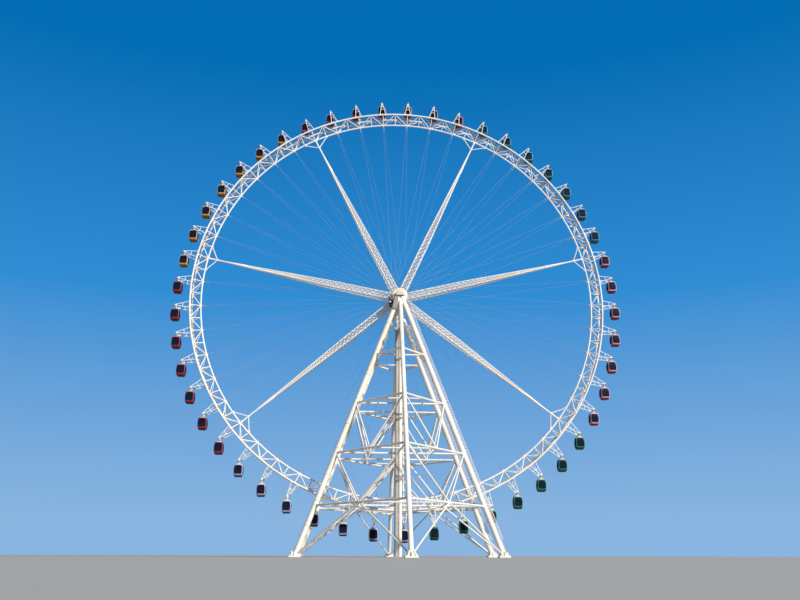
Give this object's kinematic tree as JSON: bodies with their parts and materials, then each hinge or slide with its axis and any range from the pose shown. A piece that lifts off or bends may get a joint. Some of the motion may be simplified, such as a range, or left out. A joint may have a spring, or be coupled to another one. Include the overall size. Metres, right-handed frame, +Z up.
{
  "type": "observation wheel scale model",
  "caption": "Giant observation wheel at 1:10 scale: closed cabins hang outside a lattice rim on two three-legged towers and stay level as the wheel turns.",
  "frame": {"origin": "on the ground in the middle between the two towers, below the hub", "axes": "+X to the right and +Y away from the viewer along the axle, +Z up"},
  "size_m": [8.3874, 5.9866, 8.7442],
  "materials": {
    "steel_paint": "satin off-white paint",
    "cable_steel": "galvanised strand",
    "crimson_paint": "gloss coloured paint",
    "amber_paint": "gloss coloured paint",
    "scarlet_paint": "gloss coloured paint",
    "navy_paint": "gloss coloured paint",
    "green_paint": "gloss coloured paint",
    "rose_paint": "gloss coloured paint",
    "teal_paint": "gloss coloured paint",
    "cabin_glass": "dark tinted glass",
    "cabin_trim": "satin pale paint",
    "dark_trim": "matt black",
    "bearing_steel": "dark grey castings"
  },
  "bodies": {
    "towers": {"front_tower": "steel_paint", "rear_tower": "steel_paint"},
    "wheel": {"hub_and_spokes": "steel_paint", "cable_net": "cable_steel", "rim_sector_1": "steel_paint", "rim_sector_2": "steel_paint", "rim_sector_3": "steel_paint", "rim_sector_4": "steel_paint", "rim_sector_5": "steel_paint", "rim_sector_6": "steel_paint", "rim_sector_7": "steel_paint"},
    "cabin_01": {"cabin_01": "crimson_paint"},
    "cabin_02": {"cabin_02": "crimson_paint"},
    "cabin_03": {"cabin_03": "crimson_paint"},
    "cabin_04": {"cabin_04": "crimson_paint"},
    "cabin_05": {"cabin_05": "crimson_paint"},
    "cabin_06": {"cabin_06": "crimson_paint"},
    "cabin_07": {"cabin_07": "crimson_paint"},
    "cabin_08": {"cabin_08": "amber_paint"},
    "cabin_09": {"cabin_09": "amber_paint"},
    "cabin_10": {"cabin_10": "amber_paint"},
    "cabin_11": {"cabin_11": "amber_paint"},
    "cabin_12": {"cabin_12": "amber_paint"},
    "cabin_13": {"cabin_13": "amber_paint"},
    "cabin_14": {"cabin_14": "amber_paint"},
    "cabin_15": {"cabin_15": "scarlet_paint"},
    "cabin_16": {"cabin_16": "scarlet_paint"},
    "cabin_17": {"cabin_17": "scarlet_paint"},
    "cabin_18": {"cabin_18": "scarlet_paint"},
    "cabin_19": {"cabin_19": "scarlet_paint"},
    "cabin_20": {"cabin_20": "scarlet_paint"},
    "cabin_21": {"cabin_21": "scarlet_paint"},
    "cabin_22": {"cabin_22": "navy_paint"},
    "cabin_23": {"cabin_23": "navy_paint"},
    "cabin_24": {"cabin_24": "navy_paint"},
    "cabin_25": {"cabin_25": "navy_paint"},
    "cabin_26": {"cabin_26": "navy_paint"},
    "cabin_27": {"cabin_27": "navy_paint"},
    "cabin_28": {"cabin_28": "navy_paint"},
    "cabin_29": {"cabin_29": "green_paint"},
    "cabin_30": {"cabin_30": "green_paint"},
    "cabin_31": {"cabin_31": "green_paint"},
    "cabin_32": {"cabin_32": "green_paint"},
    "cabin_33": {"cabin_33": "green_paint"},
    "cabin_34": {"cabin_34": "green_paint"},
    "cabin_35": {"cabin_35": "green_paint"},
    "cabin_36": {"cabin_36": "rose_paint"},
    "cabin_37": {"cabin_37": "rose_paint"},
    "cabin_38": {"cabin_38": "rose_paint"},
    "cabin_39": {"cabin_39": "rose_paint"},
    "cabin_40": {"cabin_40": "rose_paint"},
    "cabin_41": {"cabin_41": "rose_paint"},
    "cabin_42": {"cabin_42": "rose_paint"},
    "cabin_43": {"cabin_43": "teal_paint"},
    "cabin_44": {"cabin_44": "teal_paint"},
    "cabin_45": {"cabin_45": "teal_paint"},
    "cabin_46": {"cabin_46": "teal_paint"},
    "cabin_47": {"cabin_47": "teal_paint"},
    "cabin_48": {"cabin_48": "teal_paint"},
    "cabin_49": {"cabin_49": "teal_paint"}
  },
  "joints": [
    {"name": "wheel_turn", "type": "hinge", "parent": "towers", "child": "wheel", "pos_m": [0, 0, 4.62], "axis": [0, 1, 0], "continuous": true},
    {"name": "cabin_01_pivot", "type": "hinge", "parent": "wheel", "child": "cabin_01", "pos_m": [1.20179, 0, 8.5556], "axis": [0, 1, 0], "continuous": true},
    {"name": "cabin_02_pivot", "type": "hinge", "parent": "wheel", "child": "cabin_02", "pos_m": [0.68865, 0, 8.67697], "axis": [0, 1, 0], "continuous": true},
    {"name": "cabin_03_pivot", "type": "hinge", "parent": "wheel", "child": "cabin_03", "pos_m": [0.1642, 0, 8.73172], "axis": [0, 1, 0], "continuous": true},
    {"name": "cabin_04_pivot", "type": "hinge", "parent": "wheel", "child": "cabin_04", "pos_m": [-0.36294, 0, 8.71896], "axis": [0, 1, 0], "continuous": true},
    {"name": "cabin_05_pivot", "type": "hinge", "parent": "wheel", "child": "cabin_05", "pos_m": [-0.88412, 0, 8.6389], "axis": [0, 1, 0], "continuous": true},
    {"name": "cabin_06_pivot", "type": "hinge", "parent": "wheel", "child": "cabin_06", "pos_m": [-1.39079, 0, 8.49285], "axis": [0, 1, 0], "continuous": true},
    {"name": "cabin_07_pivot", "type": "hinge", "parent": "wheel", "child": "cabin_07", "pos_m": [-1.87462, 0, 8.2832], "axis": [0, 1, 0], "continuous": true},
    {"name": "cabin_08_pivot", "type": "hinge", "parent": "wheel", "child": "cabin_08", "pos_m": [-2.32767, 0, 8.0134], "axis": [0, 1, 0], "continuous": true},
    {"name": "cabin_09_pivot", "type": "hinge", "parent": "wheel", "child": "cabin_09", "pos_m": [-2.7425, 0, 7.68789], "axis": [0, 1, 0], "continuous": true},
    {"name": "cabin_10_pivot", "type": "hinge", "parent": "wheel", "child": "cabin_10", "pos_m": [-3.11229, 0, 7.312], "axis": [0, 1, 0], "continuous": true},
    {"name": "cabin_11_pivot", "type": "hinge", "parent": "wheel", "child": "cabin_11", "pos_m": [-3.43099, 0, 6.89191], "axis": [0, 1, 0], "continuous": true},
    {"name": "cabin_12_pivot", "type": "hinge", "parent": "wheel", "child": "cabin_12", "pos_m": [-3.69334, 0, 6.43451], "axis": [0, 1, 0], "continuous": true},
    {"name": "cabin_13_pivot", "type": "hinge", "parent": "wheel", "child": "cabin_13", "pos_m": [-3.89506, 0, 5.94732], "axis": [0, 1, 0], "continuous": true},
    {"name": "cabin_14_pivot", "type": "hinge", "parent": "wheel", "child": "cabin_14", "pos_m": [-4.03281, 0, 5.43833], "axis": [0, 1, 0], "continuous": true},
    {"name": "cabin_15_pivot", "type": "hinge", "parent": "wheel", "child": "cabin_15", "pos_m": [-4.10435, 0, 4.91591], "axis": [0, 1, 0], "continuous": true},
    {"name": "cabin_16_pivot", "type": "hinge", "parent": "wheel", "child": "cabin_16", "pos_m": [-4.10849, 0, 4.38863], "axis": [0, 1, 0], "continuous": true},
    {"name": "cabin_17_pivot", "type": "hinge", "parent": "wheel", "child": "cabin_17", "pos_m": [-4.04517, 0, 3.86514], "axis": [0, 1, 0], "continuous": true},
    {"name": "cabin_18_pivot", "type": "hinge", "parent": "wheel", "child": "cabin_18", "pos_m": [-3.91543, 0, 3.35406], "axis": [0, 1, 0], "continuous": true},
    {"name": "cabin_19_pivot", "type": "hinge", "parent": "wheel", "child": "cabin_19", "pos_m": [-3.7214, 0, 2.86375], "axis": [0, 1, 0], "continuous": true},
    {"name": "cabin_20_pivot", "type": "hinge", "parent": "wheel", "child": "cabin_20", "pos_m": [-3.46626, 0, 2.40229], "axis": [0, 1, 0], "continuous": true},
    {"name": "cabin_21_pivot", "type": "hinge", "parent": "wheel", "child": "cabin_21", "pos_m": [-3.15421, 0, 1.97724], "axis": [0, 1, 0], "continuous": true},
    {"name": "cabin_22_pivot", "type": "hinge", "parent": "wheel", "child": "cabin_22", "pos_m": [-2.79037, 0, 1.59559], "axis": [0, 1, 0], "continuous": true},
    {"name": "cabin_23_pivot", "type": "hinge", "parent": "wheel", "child": "cabin_23", "pos_m": [-2.38071, 0, 1.26359], "axis": [0, 1, 0], "continuous": true},
    {"name": "cabin_24_pivot", "type": "hinge", "parent": "wheel", "child": "cabin_24", "pos_m": [-1.93195, 0, 0.98671], "axis": [0, 1, 0], "continuous": true},
    {"name": "cabin_25_pivot", "type": "hinge", "parent": "wheel", "child": "cabin_25", "pos_m": [-1.45148, 0, 0.76949], "axis": [0, 1, 0], "continuous": true},
    {"name": "cabin_26_pivot", "type": "hinge", "parent": "wheel", "child": "cabin_26", "pos_m": [-0.94717, 0, 0.61549], "axis": [0, 1, 0], "continuous": true},
    {"name": "cabin_27_pivot", "type": "hinge", "parent": "wheel", "child": "cabin_27", "pos_m": [-0.42731, 0, 0.52725], "axis": [0, 1, 0], "continuous": true},
    {"name": "cabin_28_pivot", "type": "hinge", "parent": "wheel", "child": "cabin_28", "pos_m": [0.09957, 0, 0.50621], "axis": [0, 1, 0], "continuous": true},
    {"name": "cabin_29_pivot", "type": "hinge", "parent": "wheel", "child": "cabin_29", "pos_m": [0.62481, 0, 0.55271], "axis": [0, 1, 0], "continuous": true},
    {"name": "cabin_30_pivot", "type": "hinge", "parent": "wheel", "child": "cabin_30", "pos_m": [1.1398, 0, 0.666], "axis": [0, 1, 0], "continuous": true},
    {"name": "cabin_31_pivot", "type": "hinge", "parent": "wheel", "child": "cabin_31", "pos_m": [1.63607, 0, 0.84422], "axis": [0, 1, 0], "continuous": true},
    {"name": "cabin_32_pivot", "type": "hinge", "parent": "wheel", "child": "cabin_32", "pos_m": [2.10547, 0, 1.08444], "axis": [0, 1, 0], "continuous": true},
    {"name": "cabin_33_pivot", "type": "hinge", "parent": "wheel", "child": "cabin_33", "pos_m": [2.5403, 0, 1.3827], "axis": [0, 1, 0], "continuous": true},
    {"name": "cabin_34_pivot", "type": "hinge", "parent": "wheel", "child": "cabin_34", "pos_m": [2.93342, 0, 1.73413], "axis": [0, 1, 0], "continuous": true},
    {"name": "cabin_35_pivot", "type": "hinge", "parent": "wheel", "child": "cabin_35", "pos_m": [3.27838, 0, 2.13294], "axis": [0, 1, 0], "continuous": true},
    {"name": "cabin_36_pivot", "type": "hinge", "parent": "wheel", "child": "cabin_36", "pos_m": [3.5695, 0, 2.57259], "axis": [0, 1, 0], "continuous": true},
    {"name": "cabin_37_pivot", "type": "hinge", "parent": "wheel", "child": "cabin_37", "pos_m": [3.80201, 0, 3.04585], "axis": [0, 1, 0], "continuous": true},
    {"name": "cabin_38_pivot", "type": "hinge", "parent": "wheel", "child": "cabin_38", "pos_m": [3.97209, 0, 3.54497], "axis": [0, 1, 0], "continuous": true},
    {"name": "cabin_39_pivot", "type": "hinge", "parent": "wheel", "child": "cabin_39", "pos_m": [4.07695, 0, 4.06173], "axis": [0, 1, 0], "continuous": true},
    {"name": "cabin_40_pivot", "type": "hinge", "parent": "wheel", "child": "cabin_40", "pos_m": [4.11487, 0, 4.58767], "axis": [0, 1, 0], "continuous": true},
    {"name": "cabin_41_pivot", "type": "hinge", "parent": "wheel", "child": "cabin_41", "pos_m": [4.08523, 0, 5.11413], "axis": [0, 1, 0], "continuous": true},
    {"name": "cabin_42_pivot", "type": "hinge", "parent": "wheel", "child": "cabin_42", "pos_m": [3.9885, 0, 5.63248], "axis": [0, 1, 0], "continuous": true},
    {"name": "cabin_43_pivot", "type": "hinge", "parent": "wheel", "child": "cabin_43", "pos_m": [3.82628, 0, 6.13421], "axis": [0, 1, 0], "continuous": true},
    {"name": "cabin_44_pivot", "type": "hinge", "parent": "wheel", "child": "cabin_44", "pos_m": [3.60123, 0, 6.61107], "axis": [0, 1, 0], "continuous": true},
    {"name": "cabin_45_pivot", "type": "hinge", "parent": "wheel", "child": "cabin_45", "pos_m": [3.31705, 0, 7.05524], "axis": [0, 1, 0], "continuous": true},
    {"name": "cabin_46_pivot", "type": "hinge", "parent": "wheel", "child": "cabin_46", "pos_m": [2.97841, 0, 7.45942], "axis": [0, 1, 0], "continuous": true},
    {"name": "cabin_47_pivot", "type": "hinge", "parent": "wheel", "child": "cabin_47", "pos_m": [2.59086, 0, 7.81698], "axis": [0, 1, 0], "continuous": true},
    {"name": "cabin_48_pivot", "type": "hinge", "parent": "wheel", "child": "cabin_48", "pos_m": [2.16077, 0, 8.12204], "axis": [0, 1, 0], "continuous": true},
    {"name": "cabin_49_pivot", "type": "hinge", "parent": "wheel", "child": "cabin_49", "pos_m": [1.6952, 0, 8.3696], "axis": [0, 1, 0], "continuous": true}
  ],
  "couplings": [
    {"joint": "cabin_01_pivot", "follows": "wheel_turn", "ratio": -1},
    {"joint": "cabin_02_pivot", "follows": "wheel_turn", "ratio": -1},
    {"joint": "cabin_03_pivot", "follows": "wheel_turn", "ratio": -1},
    {"joint": "cabin_04_pivot", "follows": "wheel_turn", "ratio": -1},
    {"joint": "cabin_05_pivot", "follows": "wheel_turn", "ratio": -1},
    {"joint": "cabin_06_pivot", "follows": "wheel_turn", "ratio": -1},
    {"joint": "cabin_07_pivot", "follows": "wheel_turn", "ratio": -1},
    {"joint": "cabin_08_pivot", "follows": "wheel_turn", "ratio": -1},
    {"joint": "cabin_09_pivot", "follows": "wheel_turn", "ratio": -1},
    {"joint": "cabin_10_pivot", "follows": "wheel_turn", "ratio": -1},
    {"joint": "cabin_11_pivot", "follows": "wheel_turn", "ratio": -1},
    {"joint": "cabin_12_pivot", "follows": "wheel_turn", "ratio": -1},
    {"joint": "cabin_13_pivot", "follows": "wheel_turn", "ratio": -1},
    {"joint": "cabin_14_pivot", "follows": "wheel_turn", "ratio": -1},
    {"joint": "cabin_15_pivot", "follows": "wheel_turn", "ratio": -1},
    {"joint": "cabin_16_pivot", "follows": "wheel_turn", "ratio": -1},
    {"joint": "cabin_17_pivot", "follows": "wheel_turn", "ratio": -1},
    {"joint": "cabin_18_pivot", "follows": "wheel_turn", "ratio": -1},
    {"joint": "cabin_19_pivot", "follows": "wheel_turn", "ratio": -1},
    {"joint": "cabin_20_pivot", "follows": "wheel_turn", "ratio": -1},
    {"joint": "cabin_21_pivot", "follows": "wheel_turn", "ratio": -1},
    {"joint": "cabin_22_pivot", "follows": "wheel_turn", "ratio": -1},
    {"joint": "cabin_23_pivot", "follows": "wheel_turn", "ratio": -1},
    {"joint": "cabin_24_pivot", "follows": "wheel_turn", "ratio": -1},
    {"joint": "cabin_25_pivot", "follows": "wheel_turn", "ratio": -1},
    {"joint": "cabin_26_pivot", "follows": "wheel_turn", "ratio": -1},
    {"joint": "cabin_27_pivot", "follows": "wheel_turn", "ratio": -1},
    {"joint": "cabin_28_pivot", "follows": "wheel_turn", "ratio": -1},
    {"joint": "cabin_29_pivot", "follows": "wheel_turn", "ratio": -1},
    {"joint": "cabin_30_pivot", "follows": "wheel_turn", "ratio": -1},
    {"joint": "cabin_31_pivot", "follows": "wheel_turn", "ratio": -1},
    {"joint": "cabin_32_pivot", "follows": "wheel_turn", "ratio": -1},
    {"joint": "cabin_33_pivot", "follows": "wheel_turn", "ratio": -1},
    {"joint": "cabin_34_pivot", "follows": "wheel_turn", "ratio": -1},
    {"joint": "cabin_35_pivot", "follows": "wheel_turn", "ratio": -1},
    {"joint": "cabin_36_pivot", "follows": "wheel_turn", "ratio": -1},
    {"joint": "cabin_37_pivot", "follows": "wheel_turn", "ratio": -1},
    {"joint": "cabin_38_pivot", "follows": "wheel_turn", "ratio": -1},
    {"joint": "cabin_39_pivot", "follows": "wheel_turn", "ratio": -1},
    {"joint": "cabin_40_pivot", "follows": "wheel_turn", "ratio": -1},
    {"joint": "cabin_41_pivot", "follows": "wheel_turn", "ratio": -1},
    {"joint": "cabin_42_pivot", "follows": "wheel_turn", "ratio": -1},
    {"joint": "cabin_43_pivot", "follows": "wheel_turn", "ratio": -1},
    {"joint": "cabin_44_pivot", "follows": "wheel_turn", "ratio": -1},
    {"joint": "cabin_45_pivot", "follows": "wheel_turn", "ratio": -1},
    {"joint": "cabin_46_pivot", "follows": "wheel_turn", "ratio": -1},
    {"joint": "cabin_47_pivot", "follows": "wheel_turn", "ratio": -1},
    {"joint": "cabin_48_pivot", "follows": "wheel_turn", "ratio": -1},
    {"joint": "cabin_49_pivot", "follows": "wheel_turn", "ratio": -1}
  ]
}
